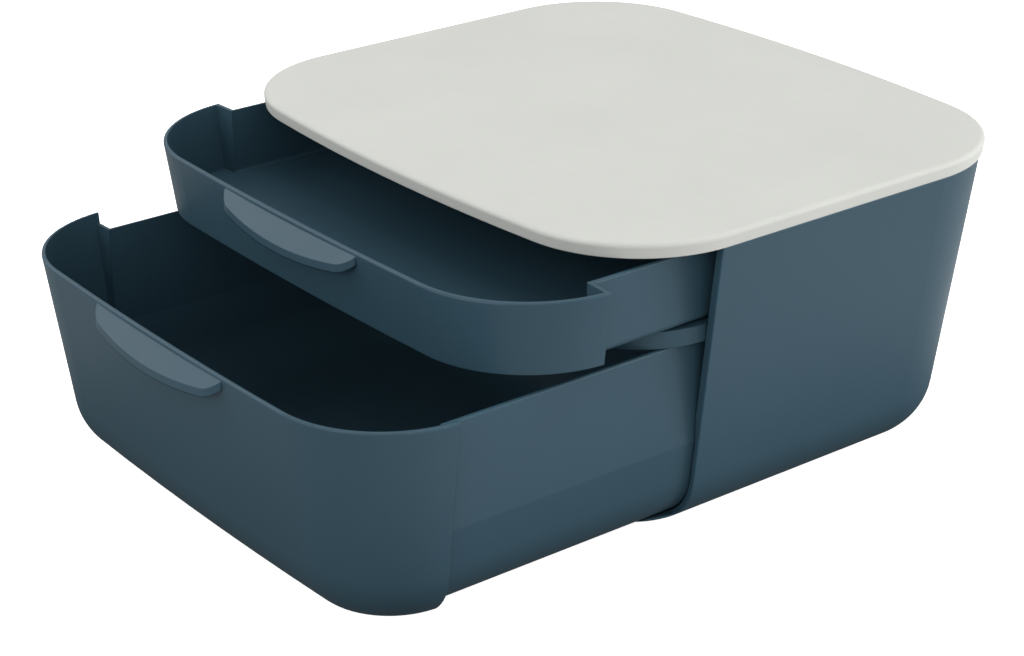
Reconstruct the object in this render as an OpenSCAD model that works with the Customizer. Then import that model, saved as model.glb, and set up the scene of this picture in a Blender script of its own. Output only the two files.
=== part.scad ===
// Desktop file box with a flat lid and two drawers of different depth.
// X runs across the front, -Y points to the front, Z up, with the desk at Z 0.
// One plan outline (straight sides, round corners, bowed front and back) and one
// wall profile (leaning wall on a round foot) shape every moulded part.

/* [Box] */
// Width over the straight sides, at the lid
box_w = 368; // [350:1:400]
// Depth over the bowed front and back, at the lid
box_d = 314; // [300:1:340]
// Height from the desk to the top of the lid
box_h = 183; // [178:1:200]
// Radius of the four upright corners, at the lid
corner_r = 73.6; // [70:0.1:78]
// Half of the turn that the lid's bowed front and the box's back make, in degrees
back_turn = 5.3; // [4:0.1:6]
// Half of the turn that the bowed fronts of the casing and drawers make, in degrees
front_turn = 2.2; // [1.5:0.1:3.5]
// Lean of the walls away from upright, in degrees
wall_lean = 7.5; // [6:0.1:8.5]
// Radius where the walls turn into the bottom
base_r = 37.5; // [34:0.5:40]

/* [Lid] */
// Height of the lid's edge
lid_t = 8.4; // [7:0.1:10]
// Thickness of the lid's top plate
lid_plate = 3; // [2.5:0.1:3.5]
// Width of the lid's closed edge, which sits on the casing
lid_edge = 6; // [5:0.5:8]
// How far the lid's edge leans in from top to bottom
lid_taper = 0.75; // [0.4:0.05:1.2]
// Rounding of the lid's upper edge
lid_round = 2.4; // [1.5:0.1:2.6]
// Rounding of the lid's lower edge
lid_under_round = 0.8; // [0.5:0.1:1.2]
// Depth of the ribs under the lid's top plate
lid_rib_h = 3.5; // [3:0.5:4.5]
// Thickness of the ribs and of the ring under the lid
lid_rib = 2; // [1.5:0.1:2.5]
// Spacing of the ribs
lid_rib_pitch = 56; // [40:1:70]
// How deep the ring that centres the lid reaches into the casing
lid_ring_h = 3.5; // [3:0.5:4.5]
// Gap between that ring and the casing
lid_ring_gap = 0.4; // [0.3:0.1:0.6]

/* [Casing] */
// Wall of the casing
casing_wall = 3.4; // [3:0.1:3.6]
// How far the casing's top edge stands in from the lid's edge
casing_step = 2; // [1.6:0.1:2.4]
// How far the side walls turn in with the corner before their front edge, in degrees
casing_turn = 2; // [1.5:0.1:3]
// Height of the bowl-shaped sill left under the lower front
sill_h = 8.4; // [8:0.1:9.5]
// Width of the thickened rim along the casing's front edge
bead_w = 5.2; // [4.5:0.1:5.5]
// Depth of that rim behind the start of the corners
bead_d = 3; // [2:0.5:5]
// Width of the ledge that carries the shelf
ledge_w = 6; // [5:0.5:6.5]
// Height of that ledge at its edge
ledge_h = 1.2; // [1:0.1:2]

/* [Feet] */
// Radius of a rubber foot
foot_r = 8; // [6:0.5:9]
// Full height of a rubber foot
foot_t = 2.6; // [2.2:0.1:2.8]
// How far a foot stands below the casing
foot_drop = 1.5; // [1.2:0.1:1.8]
// Gap round a foot in its recess
foot_gap = 0.2; // [0.1:0.1:0.4]
// Flat bottom left in front of and behind the recesses
foot_edge = 0.8; // [0.5:0.1:3]
// How far a foot stands in from the corner's centre, across
foot_side = 5; // [0:0.5:10]

/* [Shelf] */
// Height of the shelf's top face above the desk
shelf_top = 128; // [127:0.5:129]
// Thickness of the shelf
shelf_t = 3; // [2.5:0.1:3.5]
// Height of the band along the shelf's bowed front edge
shelf_band_h = 9.5; // [8:0.1:10]
// Thickness of that band
shelf_band = 3; // [2.5:0.1:3.5]
// How far the band stands in from the lid's edge
shelf_inset = 15.5; // [15:0.1:16]
// Gap between the shelf and the casing
shelf_gap = 0.3; // [0.2:0.1:0.5]
// Height of the rails that guide the upper drawer
rail_h = 3; // [2:0.5:4]
// Thickness of those rails
rail_w = 2; // [1.5:0.1:2.4]

/* [Drawers] */
// Wall and floor of both drawers
drawer_wall = 2.2; // [2:0.1:2.6]
// Rounding along the outside of the drawers' rims
rim_round = 1.2; // [0.8:0.1:1.4]
// How far the upper drawer's sides stand in from the lid's sides
upper_inset = 18; // [17.5:0.5:20]
// How far the lower drawer's sides stand in from the lid's sides
lower_inset = 21.5; // [21:0.5:23]
// Turn from the start of the corner to where a drawer front begins, in degrees
wrap_turn = 3; // [2.6:0.1:3.5]
// Turn taken up by the wall that closes a drawer front to its side wall, in degrees
jog_turn = 2; // [1.8:0.1:2.5]
// How far a drawer can be pulled out
travel = 200; // [180:1:210]
// Running gap round the lower drawer, and beside the upper one
run_gap = 0.8; // [0.6:0.1:1]
// Gap between a drawer and the glide ribs under it
glide_gap = 0.3; // [0.2:0.05:0.4]
// Width of a glide rib
glide_w = 5; // [3:0.5:8]
// Distance from the middle of the box to a glide rib
glide_x = 85; // [60:1:90]
// Height of the upper drawer's rim above the desk
upper_rim = 169.3; // [168:0.1:170]
// Gap between the shelf and the upper drawer's floor
upper_gap = 0.8; // [0.6:0.1:1.2]
// Rounding along the bottom of the upper drawer's sides
upper_round = 4; // [3.5:0.5:6]
// Height of the lower front's rim above the desk
lower_rim = 124; // [123:0.5:125]
// Gap between the lower drawer's side walls and the shelf's band
lower_side_gap = 0.8; // [0.6:0.1:1.2]
// Gap between the lower front and the sill
sill_gap = 0.5; // [0.4:0.1:1]

/* [Drawer stops] */
// Distance from the middle of the box to a stop
stop_x = 70; // [60:1:80]
// Width of a stop
stop_w = 24; // [15:1:30]
// How far the tab on a drawer's back stands above its wall
stop_h = 3.6; // [3:0.1:4]
// How far that tab stands in front of the wall's inside
stop_in = 0.5; // [0.3:0.1:1]
// Gap between the drawer's wall and the lug that its tab meets
stop_gap = 1.2; // [1:0.1:1.6]
// Thickness of a lug, front to back
stop_t = 3; // [2:0.5:4]
// Gap left between a tab and its lug when the drawer is fully out
stop_play = 0.5; // [0.3:0.1:1]

/* [Finger grips] */
// Width of a grip where it leaves the front
grip_w = 124; // [90:1:140]
// Radius of the arcs at its two ends, in plan
grip_end_r = 20; // [18:0.5:24]
// How far the centres of those arcs lie behind the front
grip_end_in = 14; // [13:0.5:15]
// How far the middle of a grip stands out from the front
grip_out = 9.5; // [6:0.5:12]
// How far its sloping face falls towards the middle of its edge
grip_fall = 9.5; // [6:0.5:12]
// Upright height of a grip's edge
grip_edge = 4.6; // [3.5:0.1:6]
// Height of the plain band between the rim and a grip
grip_top = 2.3; // [1.5:0.1:4]

/* [Rest position] */
// How far the upper drawer is pulled out
upper_pull = 71.5; // [0:0.5:180]
// How far the lower drawer is pulled out
lower_pull = 159.6; // [0:0.1:180]

/* [Hidden] */

// Places that several parts share are whole thousandths, so that the parts meet on them
function to_thousandth(v) = round(1000*v)/1000;

// The corners' centres; the lid's bows touch the box's depth
corner_x = box_w/2 - corner_r;
corner_y = to_thousandth(box_d/2 - corner_r - corner_x*tan(back_turn/2));

// Wall profile, with u measured outwards from the lid's edge and z from the desk
lean = tan(wall_lean);
casing_bottom = foot_drop;
casing_top = box_h - lid_t;
arc_u = -casing_step - lean*(casing_top - casing_bottom - base_r) - base_r/cos(wall_lean);
arc_z = casing_bottom + base_r;
// The wall's line runs this far inside the foot's arc, so that the two cross cleanly
blend = 0.001;
// Every sweep reaches in to this radius round the corner's centre
core_r = 13;
core_u = core_r - corner_r;
// Overlap of flat plates with the sweeps round them
lap = 0.5;
// How far ribs, ledges, rims and lugs reach into what carries them
root = 1;
// How far cuts run past what they cut
past = 1;
// More than the box, for cuts that run clear of it
far = 600;
// Arcs that run into each other stop this far short of where they touch
short = 0.2;
// A rim's rounding would stand out of its wall by this much, so that the wall cuts it cleanly
proud = 0.004;

// Levels of the casing, the shelf and the drawers
sill_top = casing_bottom + sill_h;
floor_top = casing_bottom + casing_wall;
shelf_front = corner_y - bead_d - shelf_gap;
jog_end = wrap_turn + jog_turn;
shelf_low = shelf_top - shelf_band_h;
upper_low = shelf_top + upper_gap;
lower_set = casing_wall + run_gap;
lower_low = casing_bottom + lower_set;
lower_side = shelf_low - lower_side_gap;
lower_front_low = sill_top + sill_gap;
foot_x = corner_x - foot_side;
foot_y = corner_y + corner_r + arc_u - foot_r - foot_gap - foot_edge;

// Outwards position of the moulded skin, set in by off, at height z on the leaning wall
function skin_u(z, off = 0) = -casing_step - lean*(casing_top - z) - off/cos(wall_lean);

// Distance from the middle of the box to the inside of a drawer's flat back wall
function back_wall(inset) = corner_y + corner_r - inset - drawer_wall;

// Distance from the middle of the box to the middle of the front, at height z
function front_reach(z) = corner_y + corner_r + corner_x*tan(front_turn/2) + skin_u(z);

// The frame's origin lies under the middle of the box and its pulled-out drawers
front_y = front_reach(lower_rim - grip_top) + grip_out + lower_pull;
shift_y = to_thousandth((front_y - box_d/2)/2);

$fn = 96;
bow_fn = 720;

// Moves in three steps of falling size, so that seams between sweeps meet to a millionth
module exactly(v) {
    whole = [for (x = v) floor(x)];
    part = [for (x = v - whole) floor(x*1000)/1000];
    translate(whole) translate(part) translate(v - whole - part) children();
}

// Section of everything inside the skin set in by off, open at the top
module fill(off, inner = core_u) {
    r = base_r - off;
    turn = [(r - blend)*cos(wall_lean), -(r - blend)*sin(wall_lean)];
    polygon([[inner, arc_z - r], [arc_u, arc_z - r], [arc_u, arc_z] + turn,
        [skin_u(box_h, off + blend), box_h], [inner, box_h]]);
    intersection() {
        translate([arc_u, arc_z]) circle(r);
        translate([arc_u - past, arc_z - r - past]) square([r + 2*past, 2*r + 2*past]);
    }
}

// Keeps the part of a section between two heights and outwards of u
module between(low, top, u = core_u) {
    intersection() {
        children();
        translate([u, low]) square([far, top - low]);
    }
}

// Carries a section round the two corners of one end, between two turns
module corners(front, from, to) {
    mirror([0, front ? 1 : 0, 0]) for (side = [0, 1]) {
        mirror([side, 0, 0]) exactly([corner_x, corner_y, 0])
            rotate_extrude(start = from, angle = to - from) translate([corner_r, 0]) children();
    }
}

// Carries a section along the bow between the two corners of one end
module bow(front, turn) {
    mirror([0, front ? 1 : 0, 0]) exactly([0, corner_y - corner_x/tan(turn), 0])
        rotate_extrude(start = 90 - turn, angle = 2*turn, $fn = bow_fn)
            exactly([corner_x/sin(turn) + corner_r, 0, 0]) children();
}

// Carries a section round one whole end
module round_end(front, turn, from = 0) {
    corners(front, from, 90 - turn) children();
    bow(front, turn) children();
}

// Carries a section along both straight sides, from y0 to y1
module along_sides(y0, y1) {
    for (side = [0, 1]) {
        mirror([side, 0, 0]) exactly([box_w/2, y1, 0]) rotate([90, 0, 0])
            linear_extrude(y1 - y0) children();
    }
}

// Carries a section round the drawers' flat back, whose corners are full quarters
module round_flat_back() {
    corners(false, 0, 90) children();
    exactly([-corner_x, corner_y + corner_r, 0]) rotate([90, 0, 90])
        linear_extrude(2*corner_x) children();
}

// Plan outline set in by inset, between two distances from the back
module plan(inset, turn, y0, y1) {
    bow_y = corner_x/tan(turn) - corner_y;
    bow_r = corner_x/sin(turn) + corner_r - inset;
    intersection() {
        translate([0, bow_y]) circle(bow_r, $fn = bow_fn);
        translate([0, corner_y - corner_x/tan(back_turn)])
            circle(corner_x/sin(back_turn) + corner_r - inset, $fn = bow_fn);
        union() {
            square([box_w - 2*inset, 2*corner_y], center = true);
            square([2*corner_x, far], center = true);
            for (sx = [-1, 1], sy = [-1, 1]) {
                translate([sx*corner_x, sy*corner_y]) circle(corner_r - inset);
            }
        }
        translate([-far/2, y0]) square([far, y1 - y0]);
    }
}

// Sets a part into the frame
module placed(pull = 0) {
    translate([0, shift_y - pull, 0]) children();
}

module casing() {
    color("#3b5866") placed() difference() {
        union() {
            round_end(false, back_turn) casing_section();
            along_sides(-corner_y, corner_y) casing_section();
            casing_front_part();
            translate([0, 0, casing_bottom]) linear_extrude(casing_wall)
                plan(-core_u - lap, front_turn, -far, far);
            corners(true, 0, casing_turn) bead_section();
            along_sides(-corner_y, -corner_y + bead_d) bead_section();
            along_sides(-corner_y + bead_d, corner_y) ledge_section();
            round_end(false, back_turn) ledge_section();
            for (sx = [-1, 1]) {
                translate([sx*glide_x - glide_w/2, -corner_y, floor_top - root])
                    cube([glide_w, 2*corner_y, root + run_gap - glide_gap]);
            }
        }
        for (sx = [-1, 1], sy = [-1, 1]) {
            translate([sx*foot_x, sy*foot_y, -past])
                cylinder(h = foot_t + past, r = foot_r + foot_gap);
        }
    }
}

// The side walls' front edge, and the sill that carries on round the front below
// the lower drawer, open above its floor to let that drawer through
module casing_front_part() {
    block = box_w/2 + core_u + lap;
    difference() {
        union() {
            corners(true, 0, casing_turn) between(0, casing_top) fill(0);
            corners(true, casing_turn, 90 - front_turn) between(0, sill_top) fill(0);
            bow(true, front_turn) between(0, sill_top) fill(0);
        }
        along_sides(-far/2, -corner_y + past) fill(casing_wall, core_u - past);
        translate([-block, -far/2, floor_top]) cube([2*block, far/2, box_h]);
    }
}

// Wall and bottom of the casing
module casing_section() {
    between(0, casing_top) difference() {
        fill(0);
        fill(casing_wall, core_u - past);
    }
}

// Thickening of the front edge, clear of the lower drawer
module bead_section() {
    between(0, casing_top, run_gap - lower_inset) difference() {
        fill(root);
        fill(bead_w);
    }
}

// Ledge that the shelf rests on
module ledge_section() {
    top = shelf_top - shelf_t;
    edge_u = skin_u(top, casing_wall + ledge_w);
    polygon([[skin_u(top, root), top], [edge_u, top], [edge_u, top - ledge_h],
        [skin_u(top - ledge_h - ledge_w, root), top - ledge_h - ledge_w]]);
}

module lid() {
    under = box_h - lid_plate;
    columns = floor((box_w - corner_r)/2/lid_rib_pitch);
    rows = floor((box_d - corner_r)/2/lid_rib_pitch);
    color("#d5d5d0") placed() {
        round_end(false, back_turn) lid_section();
        round_end(true, back_turn) lid_section();
        along_sides(-corner_y, corner_y) lid_section();
        translate([0, 0, under]) linear_extrude(lid_plate)
            plan(lid_edge, back_turn, -far, far);
        // Ring that centres the lid between the casing's walls
        round_end(false, back_turn) lid_ring_section();
        along_sides(-corner_y + bead_d, corner_y) lid_ring_section();
        // Ribs
        translate([0, 0, under - lid_rib_h]) linear_extrude(lid_rib_h + lap) intersection() {
            plan(lid_edge + lid_rib/2, back_turn, -far, far);
            union() {
                for (i = [-columns:columns]) {
                    translate([i*lid_rib_pitch - lid_rib/2, -box_d/2]) square([lid_rib, box_d]);
                }
                for (i = [-rows:rows]) {
                    translate([-box_w/2, i*lid_rib_pitch - lid_rib/2]) square([box_w, lid_rib]);
                }
            }
        }
        lugs(upper_inset, upper_rim + stop_gap, under + lap);
    }
}

// Section of the lid's edge, with arcs above and below
module lid_section() {
    top = [-lid_round, box_h - lid_round];
    low = [-lid_taper - lid_under_round, casing_top + lid_under_round];
    between_arcs = norm(top - low);
    slope = atan2(top.y - low.y, top.x - low.x) - acos((lid_under_round - lid_round)/between_arcs);
    out = [cos(slope), sin(slope)];
    polygon([top + out*(lid_round - blend), low + out*(lid_under_round - blend), [low.x, casing_top],
        [-lid_edge - lid_rib, casing_top], [-lid_edge - lid_rib, box_h], [top.x, box_h]]);
    between(0, box_h, top.x - lid_round/2) translate(top) circle(lid_round);
    between(0, box_h, low.x - lid_under_round/2) translate(low) circle(lid_under_round);
}

module lid_ring_section() {
    out_u = skin_u(casing_top, casing_wall + lid_ring_gap);
    translate([out_u - lid_rib, casing_top - lid_ring_h]) square([lid_rib, lid_ring_h + lap]);
}

module divider_shelf() {
    low = shelf_top - shelf_t;
    back_inset = -skin_u(low, casing_wall) + shelf_gap;
    rail_x = box_w/2 - upper_inset + run_gap;
    color("#4a6675") placed() {
        translate([0, 0, low]) linear_extrude(shelf_t) {
            plan(back_inset, front_turn, -shelf_front, far);
            plan(shelf_inset + shelf_band/2, front_turn, -far, lap - shelf_front);
        }
        // Band that closes the gap above the lower drawer
        round_end(true, front_turn) translate([-shelf_inset - shelf_band, shelf_low])
            square([shelf_band, shelf_band_h]);
        // Glide ribs and side rails for the upper drawer
        for (sx = [-1, 1]) {
            translate([sx*glide_x - glide_w/2, -corner_y, shelf_top - root])
                cube([glide_w, 2*corner_y, root + upper_gap - glide_gap]);
            translate([sx*(rail_x + rail_w/2) - rail_w/2, lap - shelf_front, shelf_top - root])
                cube([rail_w, 2*shelf_front, root + rail_h]);
        }
        lugs(lower_inset, lower_side + stop_gap, low + lap);
    }
}

// Two lugs that the tabs on a drawer's back meet at the end of its travel
module lugs(inset, low, top) {
    y = back_wall(inset) - stop_in - travel - stop_play - stop_t;
    for (sx = [-1, 1]) {
        translate([sx*stop_x - stop_w/2, y, low]) cube([stop_w, stop_t, top - low]);
    }
}

// Tabs inside a drawer's back wall, whose top is at height top
module tabs(inset, top) {
    for (sx = [-1, 1]) {
        translate([sx*stop_x - stop_w/2, back_wall(inset) - stop_in, top - rim_round - root])
            cube([stop_w, drawer_wall, rim_round + root + stop_h]);
    }
}

// Half-moon lip whose sloping face starts grip_top below the rim
module grip(rim) {
    high = rim - grip_top;
    skin = -front_reach(high);
    inside = skin + drawer_wall/2;
    reach = inside - skin + 2*grip_out;
    drop = grip_fall/grip_out;
    top = high + drop*(inside - skin);
    translate([0, skin, 0]) intersection() {
        translate([-grip_w/2, inside - skin, 0]) rotate([90, 0, 90]) linear_extrude(grip_w)
            polygon([[0, top], [-reach, top - drop*reach],
                [-reach, top - drop*reach - grip_edge], [0, top - grip_edge]]);
        linear_extrude(box_h) grip_outline();
    }
}

// Plan of a grip, with the front at y 0: a wide arc and two tighter ones that it runs into
module grip_outline() {
    end_x = grip_w/2 - sqrt(grip_end_r*grip_end_r - grip_end_in*grip_end_in);
    behind = grip_out + grip_end_in;
    wide_r = (end_x*end_x + behind*behind - grip_end_r*grip_end_r)/(2*(behind - grip_end_r));
    wide_x = end_x*wide_r/(wide_r - grip_end_r) - short;
    intersection() {
        translate([0, wide_r - grip_out]) circle(wide_r, $fn = bow_fn);
        translate([-wide_x, -2*grip_out]) square([2*wide_x, 2*grip_out + drawer_wall]);
    }
    for (sx = [-1, 1]) {
        intersection() {
            translate([sx*end_x, grip_end_in]) circle(grip_end_r);
            translate([sx > 0 ? 0 : -grip_w, -2*grip_out]) square([grip_w, 2*grip_out + drawer_wall]);
        }
    }
}

module upper_drawer() {
    color("#35525f") placed(upper_pull) {
        round_end(true, front_turn, jog_end) upper_front_section();
        corners(true, wrap_turn, jog_end) upper_jog_section();
        corners(true, 0, wrap_turn) upper_section();
        along_sides(-corner_y, corner_y) upper_section();
        round_flat_back() upper_section();
        drawer_floor(upper_low);
        tabs(upper_inset, upper_rim);
        grip(upper_rim);
    }
}

// Keeps what lies below a rim, with the outside rounded where the wall's face is
// at u at the height of the rounding's middle and leans by turn there
module below_rim(rim, u, turn = 0) {
    z = rim - rim_round;
    centre = to_thousandth(u - rim_round/cos(turn) + proud);
    start = core_u - past;
    intersection() {
        children();
        union() {
            translate([start, 0]) square([centre - start, rim]);
            translate([start, 0]) square([far, to_thousandth(z - rim_round*sin(turn))]);
            translate([centre, z]) circle(rim_round);
        }
    }
}

// The same on the leaning skin
module below_skin_rim(rim) {
    below_rim(rim, skin_u(rim - rim_round), wall_lean) children();
}

// Floor and leaning wall of the upper front
module upper_front_section() {
    floor_z = upper_low + drawer_wall;
    below_skin_rim(upper_rim) polygon([[core_u, upper_low], [skin_u(upper_low), upper_low],
        [skin_u(box_h), box_h], [skin_u(box_h, drawer_wall), box_h],
        [skin_u(floor_z, drawer_wall), floor_z], [core_u, floor_z]]);
}

// Wall that closes the upper front to the side wall behind it
module upper_jog_section() {
    below_skin_rim(upper_rim) difference() {
        between(upper_low, box_h) fill(0);
        upper_inside();
    }
}

// Side wall and bottom of the upper drawer, with a rounded lower edge
module upper_section() {
    below_rim(upper_rim, -upper_inset) between(upper_low, box_h) difference() {
        tray_outline(-upper_inset, upper_low, upper_round);
        upper_inside();
    }
}

module upper_inside() {
    tray_outline(-upper_inset - drawer_wall, upper_low + drawer_wall, upper_round - drawer_wall);
}

// Everything above low and inwards of u, with the corner between them rounded
module tray_outline(u, low, r) {
    start = core_u - past;
    translate([start, low]) square([u - r - start, box_h]);
    translate([u - r, low + r]) square([r, box_h - r]);
    intersection() {
        translate([u - r, low + r]) circle(r);
        translate([u - r, low]) square(r);
    }
}

// Middle of a drawer's floor, inside the sweeps round it
module drawer_floor(low) {
    half = box_w/2 + core_u + lap;
    translate([0, 0, low]) linear_extrude(drawer_wall) {
        plan(box_w/2 - half, front_turn, -far, lap);
        translate([-half, 0]) square([2*half, corner_y + core_r + lap]);
    }
}

module lower_drawer() {
    color("#2f4b59") placed(lower_pull) {
        round_end(true, front_turn, jog_end) lower_front_section();
        corners(true, wrap_turn, jog_end) lower_jog_section();
        corners(true, 0, wrap_turn) lower_section();
        along_sides(-corner_y, corner_y) lower_section();
        round_flat_back() lower_section();
        drawer_floor(lower_low);
        tabs(lower_inset, lower_side);
        grip(lower_rim);
    }
}

// Lower front: the casing's skin above the sill, set in to clear the sill below it
module lower_front_section() {
    below_skin_rim(lower_rim) difference() {
        lower_outside(box_h);
        between(0, box_h, core_u - past) fill(lower_set + drawer_wall, core_u - past);
        between(lower_front_low + drawer_wall, box_h, core_u - past) fill(drawer_wall, core_u - past);
    }
}

// Wall that closes the lower front to the lower side wall behind it
module lower_jog_section() {
    difference() {
        lower_outside(lower_side);
        lower_inside();
    }
    below_skin_rim(lower_rim) between(lower_side - lap, box_h) difference() {
        fill(0);
        fill(drawer_wall, core_u - past);
    }
}

// Everything inside the lower drawer's skin up to height top
module lower_outside(top) {
    between(lower_front_low, top) fill(0);
    between(0, lower_front_low + lap) fill(lower_set);
}

// Inside of the lower drawer behind its front
module lower_inside() {
    intersection() {
        fill(lower_set + drawer_wall, core_u - past);
        translate([core_u - past, 0])
            square([past - core_u - lower_inset - drawer_wall, box_h]);
    }
}

// Side wall and bottom of the lower drawer: upright above, along the casing's foot below
module lower_section() {
    below_rim(lower_side, -lower_inset) difference() {
        intersection() {
            fill(lower_set);
            translate([core_u, 0]) square([-lower_inset - core_u, box_h]);
        }
        lower_inside();
    }
}

module foot(sx, sy) {
    color("#2a2c2e") placed() translate([sx*foot_x, sy*foot_y, 0]) cylinder(h = foot_t, r = foot_r);
}
module front_left_foot() { foot(-1, -1); }
module front_right_foot() { foot(1, -1); }
module rear_left_foot() { foot(-1, 1); }
module rear_right_foot() { foot(1, 1); }

casing();
lid();
divider_shelf();
upper_drawer();
lower_drawer();
front_left_foot();
front_right_foot();
rear_left_foot();
rear_right_foot();
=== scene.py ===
"""Desktop file box with two drawers: light, camera and looks round the fixed frame.

The frame's own nodes are shown. This script gives them plastics and rubber, and adds the
floor, the light that a floor throws back, the soft boxes and the camera. Lengths are in
metres, in the frame's axes: +X to the right, -Y to the front, +Z up.
"""
import math

import bpy
import numpy as np
from mathutils import Matrix, Vector

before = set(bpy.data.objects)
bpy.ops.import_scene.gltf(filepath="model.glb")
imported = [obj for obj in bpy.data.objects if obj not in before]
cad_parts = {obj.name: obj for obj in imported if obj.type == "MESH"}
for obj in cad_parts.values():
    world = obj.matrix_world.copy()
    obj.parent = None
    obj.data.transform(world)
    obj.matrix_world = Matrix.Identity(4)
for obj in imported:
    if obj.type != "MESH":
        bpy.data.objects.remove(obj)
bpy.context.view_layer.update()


# ---------------------------------------------------------------- shader writing

class Field:
    """A value that varies over a surface. Arithmetic on it adds the Math nodes."""

    def __init__(self, nodes, socket):
        self.nodes = nodes
        self.socket = socket

    def _math(self, operation, *values):
        return self.nodes.node("ShaderNodeMath", {"operation": operation}, *values)

    def __add__(self, other):
        return self._math("ADD", self, other)

    def __sub__(self, other):
        return self._math("SUBTRACT", self, other)

    def __rsub__(self, other):
        return self._math("SUBTRACT", other, self)

    def __mul__(self, other):
        return self._math("MULTIPLY", self, other)

    __radd__ = __add__
    __rmul__ = __mul__

    def held(self):
        """The value kept between 0 and 1."""
        return self.nodes.node("ShaderNodeClamp", {}, self)

    def beyond(self, limit):
        """How far the size of the value goes beyond a limit, never below 0."""
        return self._math("MAXIMUM", self._math("ABSOLUTE", self) - limit, 0.0)

    def root(self):
        """The square root of the value."""
        return self._math("SQRT", self)


class Nodes:
    """The node tree of a finish or of the studio's surroundings."""

    def __init__(self, tree):
        self.tree = tree

    def node(self, kind, settings, *values, out=0, **named):
        """Adds a node, sets it up, links or sets its inputs and gives back one output."""
        made = self.tree.nodes.new(kind)
        for key, value in settings.items():
            setattr(made, key, value)
        for key, value in [*enumerate(values), *named.items()]:
            socket = made.inputs[key.replace("_", " ") if isinstance(key, str) else key]
            if isinstance(value, Field):
                self.tree.links.new(value.socket, socket)
            else:
                socket.default_value = value
        return Field(self, made.outputs[out])

    def ramp(self, value, low, high):
        """0 below low and 1 above high, rising smoothly between them."""
        return self.node("ShaderNodeMapRange", {"interpolation_type": "SMOOTHSTEP"}, value,
                         low, high, 0.0, 1.0)

    def along(self, axis, place):
        """The part of a place or direction along one axis."""
        return self.node("ShaderNodeSeparateXYZ", {}, place, out=axis)


class Finish(Nodes):
    """One procedural material and the nodes that make it."""

    SHARE, FIRST, SECOND, MIXED = 0, 6, 7, 2      # sockets of a Mix node set to colour
    EDGE_START = 0.004                            # turn from which a surface counts as an edge

    def __init__(self, name, **constants):
        self.material = bpy.data.materials.new(name)
        self.material.use_nodes = True
        super().__init__(self.material.node_tree)
        self.shader = self.tree.nodes["Principled BSDF"]
        for socket, value in constants.items():
            self.shader.inputs[socket.replace("_", " ")].default_value = value
        self.place = self.node("ShaderNodeTexCoord", {}, out="Object")

    def noise(self, size, detail=2.0, roughness=0.5):
        """Noise whose features are about size metres across, from 0 to 1."""
        return self.node("ShaderNodeTexNoise", {}, Vector=self.place, Scale=1 / size,
                         Detail=detail, Roughness=roughness)

    def mix(self, share, first, second):
        """Goes from the first colour to the second as share goes from 0 to 1."""
        made = self.tree.nodes.new("ShaderNodeMix")
        made.data_type = "RGBA"
        self.tree.links.new(share.socket, made.inputs[self.SHARE])
        for key, colour in ((self.FIRST, first), (self.SECOND, second)):
            if isinstance(colour, Field):
                self.tree.links.new(colour.socket, made.inputs[key])
            else:
                made.inputs[key].default_value = (*colour, 1)
        return Field(self, made.outputs[self.MIXED])

    def rounded(self, radius):
        """The direction of the surface with its sharp edges rounded by radius."""
        return self.node("ShaderNodeBevel", {"samples": 6}, radius)

    def edges(self, rounded, sharp):
        """1 where the rounding turns the surface by sharp or more, 0 on the faces. The turn is
        one minus the cosine of its angle."""
        facing = self.node("ShaderNodeNewGeometry", {}, out="Normal")
        alike = self.node("ShaderNodeVectorMath", {"operation": "DOT_PRODUCT"}, rounded, facing,
                          out="Value")
        return self.ramp(1 - alike, self.EDGE_START, sharp)

    def bump(self, height, strength, distance, rounded):
        """The direction of the rounded surface with small heights on it."""
        return self.node("ShaderNodeBump", {}, Strength=strength, Distance=distance,
                         Height=height, Normal=rounded)

    def feed(self, **fields):
        """Links fields into the shader's sockets."""
        for socket, field in fields.items():
            self.tree.links.new(field.socket, self.shader.inputs[socket.replace("_", " ")])


CLOUD, FLOW, ETCHING = 0.09, 0.012, 0.0005    # sizes of the marks in moulded plastic
ETCHED = 0.00006                              # depth of the etched grain
DARK, LIGHT, EDGE_SHADE = 0.96, 1.04, 0.6          # random shades of a plastic's own colour, then the painted shade of its edges
RIM_FROM, RIM_TO = 0.002, 0.003               # distance from its height at which a rim ends


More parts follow.
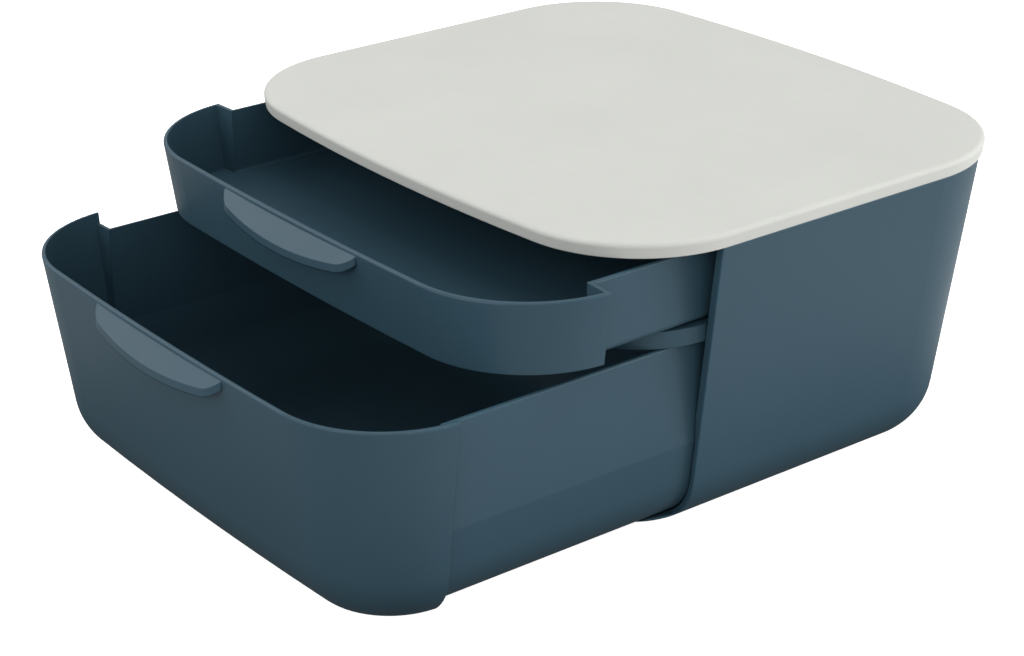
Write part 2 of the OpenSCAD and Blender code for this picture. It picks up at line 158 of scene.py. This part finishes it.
def moulded_plastic(name, colour, gloss=0.30, rough=0.40, wear_and_highlight=1.25, radius=0.0007, sharp=0.12,
                    rims=()):
    """Moulded plastic: a fine etched grain, faint flow clouds, an uneven gloss and edges that
    are rounded and painted lighter, partly as wear and partly as a painted highlight. With rims,
    the heights of the rims, only the rims get the lighter edge colour and the other edges are
    darkened as painted shade."""
    finish = Finish(name, IOR=1.5, Specular_IOR_Level=gloss)
    clouds = finish.noise(CLOUD, 3.0)
    flow = finish.noise(FLOW, 2.0)
    fine = finish.noise(ETCHING, 3.0, 0.6)
    rounded = finish.rounded(radius)
    edges = finish.edges(rounded, sharp)
    share = ((clouds - 0.5) * 1.2 + (fine - 0.5) * 0.6 + (flow - 0.5) * 0.4 + 0.5).held()
    # Edge colours: painted lighter (partly wear, partly a painted highlight) or darker (painted
    # shade).
    dark, light, pale, shaded_edge = (tuple(min(part * factor, 1) for part in colour)
                                for factor in (DARK, LIGHT, wear_and_highlight, EDGE_SHADE))
    body = finish.mix(share, dark, light)
    if rims:
        height = finish.along("Z", finish.place)
        on_rim = sum(1 - finish.ramp((height - rim).beyond(0.0), RIM_FROM, RIM_TO)
                     for rim in rims)
        # Edges away from the rims are darkened: painted shade on creases and edges.
        body = finish.mix((edges * (1 - on_rim) * 0.8).held(), body, shaded_edge)
        # Only the rims keep the lighter edge colour: a painted highlight on their tops.
        edges = (edges * on_rim).held()
    roughness = (clouds - 0.5) * 0.12 + (flow - 0.5) * 0.08 + edges * -0.06 + rough
    finish.feed(
        # Edges take the lighter colour: partly wear, partly a painted highlight.
        Base_Color=finish.mix((edges * (0.45 + flow * 0.4)).held(), body, pale),
        Roughness=roughness.held(),
        Normal=finish.bump(fine, 0.14, ETCHED, rounded),
    )
    return finish.material


def rubber():
    """Dull dark rubber with a fine grain like dust."""
    finish = Finish("foot_rubber", IOR=1.45)
    grain = finish.noise(0.0006, 3.0)
    finish.feed(
        Base_Color=finish.mix(grain, (0.012, 0.013, 0.014), (0.030, 0.031, 0.033)),
        Roughness=grain * 0.2 + 0.68,
        Normal=finish.bump(grain, 0.3, 0.0001, finish.rounded(0.0005)),
    )
    return finish.material


# ---------------------------------------------------------------- finishes

PETROL = (0.0405, 0.0905, 0.1255)
PALE_GREY = (0.672, 0.681, 0.643)
DRAWER_RIMS = (0.1693, 0.124)                 # heights of the upper and the lower rim

# The casing's edges are painted much lighter: a painted highlight along its front edge.
casing_plastic = moulded_plastic("casing_plastic", PETROL, wear_and_highlight=2.1, radius=0.002, sharp=0.04)
drawer_plastic = moulded_plastic("drawer_plastic", PETROL, rims=DRAWER_RIMS)
shelf_plastic = moulded_plastic("shelf_plastic", PETROL)
lid_plastic = moulded_plastic("lid_plastic", PALE_GREY, gloss=0.1, rough=0.5, wear_and_highlight=1.0)
feet_rubber = rubber()

for node, material in {
    "casing": casing_plastic, "lid": lid_plastic, "divider_shelf": shelf_plastic,
    "upper_drawer": drawer_plastic, "lower_drawer": drawer_plastic,
    "front_left_foot": feet_rubber, "front_right_foot": feet_rubber,
    "rear_left_foot": feet_rubber, "rear_right_foot": feet_rubber,
}.items():
    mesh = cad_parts[node].data
    mesh.materials.clear()
    mesh.materials.append(material)


# ---------------------------------------------------------------- floor, light and camera

FLOOR_REACH, GLOW_REACH = 40.0, 6.0
UNDER_FLOOR = -0.0005                         # height of the glow
INNER_X, INNER_Y, CORNER = 0.110, 0.162, 0.0736    # the box's outline: a rectangle and its corners
HAND, FURTHER = 0.12, 0.35                    # distances from the outline
TO_THE_RIGHT = (0.79, 0.61)                   # direction from the left to the right of the box
SIDES_MEET = 0.08                             # half the width over which the two sides blend


def plane(name, height, reach, paint):
    """Flat square grid at a height, reaching so far to each side, linked into the scene."""
    steps = np.linspace(-reach, reach, 9)
    x, y = np.meshgrid(steps, steps)
    points = np.stack([x, y, np.full_like(x, height)], -1).reshape(-1, 3)
    count = len(steps)
    first = (np.arange(count - 1)[:, None] * count + np.arange(count - 1)).reshape(-1)
    faces = np.stack([first, first + 1, first + count + 1, first + count], 1)
    mesh = bpy.data.meshes.new(name)
    mesh.from_pydata(points, [], faces.tolist())
    mesh.materials.append(paint.material)
    piece = bpy.data.objects.new(name, mesh)
    bpy.context.scene.collection.objects.link(piece)
    return piece


def floor():
    """Plain pale floor, nearly pure white, so that it shows hardly any shadow. The box isn't
    lit by it but by the glow."""
    paint = Finish("floor_paint", Roughness=0.9, Emission_Color=(1, 1, 1, 1),
                   Emission_Strength=0.9)
    paint.feed(Base_Color=paint.mix(paint.noise(0.8), (0.88, 0.88, 0.88), (0.9, 0.9, 0.9)))
    piece = plane("floor", 0.0, FLOOR_REACH, paint)
    piece.visible_diffuse = False
    piece.visible_glossy = False
    piece.visible_shadow = False


def glow(near, right, left, far_right, far_left):
    """The light that a floor throws back: weak in the shadow round the box, stronger away
    from it. The levels are those next to the box, a hand away and further out, on its right
    and on its left. The camera doesn't see it."""
    paint = Finish("glow_paint", Roughness=0.9, Base_Color=(0, 0, 0, 1), Emission_Strength=1.0)
    x, y = paint.along("X", paint.place), paint.along("Y", paint.place)
    across, along = x.beyond(INNER_X), y.beyond(INNER_Y)
    away = (across * across + along * along).root() - CORNER
    hand, further = paint.ramp(away, 0.0, HAND), paint.ramp(away, HAND, FURTHER)
    side = paint.ramp(x * TO_THE_RIGHT[0] + y * TO_THE_RIGHT[1],
                      -SIDES_MEET, SIDES_MEET)
    level = ((1 - hand) * near + (hand - further) * (side * (right - left) + left)
             + further * (side * (far_right - far_left) + far_left))
    paint.feed(Emission_Color=level)
    piece = plane("glow", UNDER_FLOOR, GLOW_REACH, paint)
    piece.visible_camera = False


def soft_light(name, at, to, width, height, power):
    """A soft box at a place, turned to a point. The camera doesn't see it."""
    data = bpy.data.lights.new(name, "AREA")
    data.shape = "RECTANGLE"
    data.size = width
    data.size_y = height
    data.energy = power
    lamp = bpy.data.objects.new(name, data)
    lamp.location = at
    lamp.rotation_euler = (Vector(to) - Vector(at)).to_track_quat("-Z", "Y").to_euler()
    lamp.visible_camera = False
    bpy.context.scene.collection.objects.link(lamp)


def surroundings(above):
    """White surroundings above the horizon, at the brightness above, and none below it."""
    world = bpy.data.worlds.new("studio")
    world.use_nodes = True
    nodes = Nodes(world.node_tree)
    direction = nodes.node("ShaderNodeTexCoord", {}, out="Generated")
    white = nodes.ramp(nodes.along("Z", direction), -0.02, 0.02) * above
    background = world.node_tree.nodes["Background"]
    background.inputs["Strength"].default_value = 1.0
    world.node_tree.links.new(white.socket, background.inputs["Color"])
    bpy.context.scene.world = world


def studio():
    """Floor, glow, surroundings and five soft boxes, from a large one above to a low one
    behind on the right. Sizes are in metres and powers in watts."""
    floor()
    glow(near=0.09, right=0.70, left=0.34, far_right=0.55, far_left=0.39)
    surroundings(above=0.596)
    middle, right_of_middle = (0, 0, 0.1), (0.1, 0.0, 0.1)
    soft_light("above", (0.1, 0.0, 2.2), middle, width=1.8, height=1.8, power=9.48)
    soft_light("left", (-1.7, -0.9, 1.35), middle, width=1.2, height=1.2, power=8.61)
    soft_light("front", (0.5, -2.4, 1.2), middle, width=1.2, height=1.2, power=11.28)
    soft_light("front_right", (1.8, -1.6, 1.6), middle, width=1.2, height=1.2, power=3.51)
    soft_light("back_right", (1.2, 1.6, 0.5), right_of_middle, width=1.0, height=0.5,
               power=20.8)


def camera():
    """Camera at the place and angle from which the box is seen, without shift. It stands at a
    distance from its target: azimuth to the right of the front and elevation above the
    level, and it is tilted by roll, all in radians. Lens and sensor are in millimetres."""
    azimuth, elevation, roll = 0.91402, 0.42044, -0.00711
    target = Vector((0.0089072, -0.0031589, 0.0703726))
    distance = 1.409541
    lens, sensor = 87.421, 36.0
    nearest, furthest = 0.05, 50
    out = Vector((math.sin(azimuth) * math.cos(elevation),
                  -math.cos(azimuth) * math.cos(elevation), math.sin(elevation)))
    right = Vector((math.cos(azimuth), math.sin(azimuth), 0))
    up = right.cross(-out)
    across = right * math.cos(roll) + up * math.sin(roll)
    upright = up * math.cos(roll) - right * math.sin(roll)
    data = bpy.data.cameras.new("camera")
    data.lens = lens
    data.sensor_fit = "HORIZONTAL"
    data.sensor_width = sensor
    data.clip_start, data.clip_end = nearest, furthest
    view = bpy.data.objects.new("camera", data)
    turned = Matrix((across, upright, out)).transposed().to_4x4()
    view.matrix_world = Matrix.Translation(target + out * distance) @ turned
    bpy.context.scene.collection.objects.link(view)
    bpy.context.scene.camera = view


studio()
camera()
bpy.context.scene.view_settings.view_transform = "Standard"
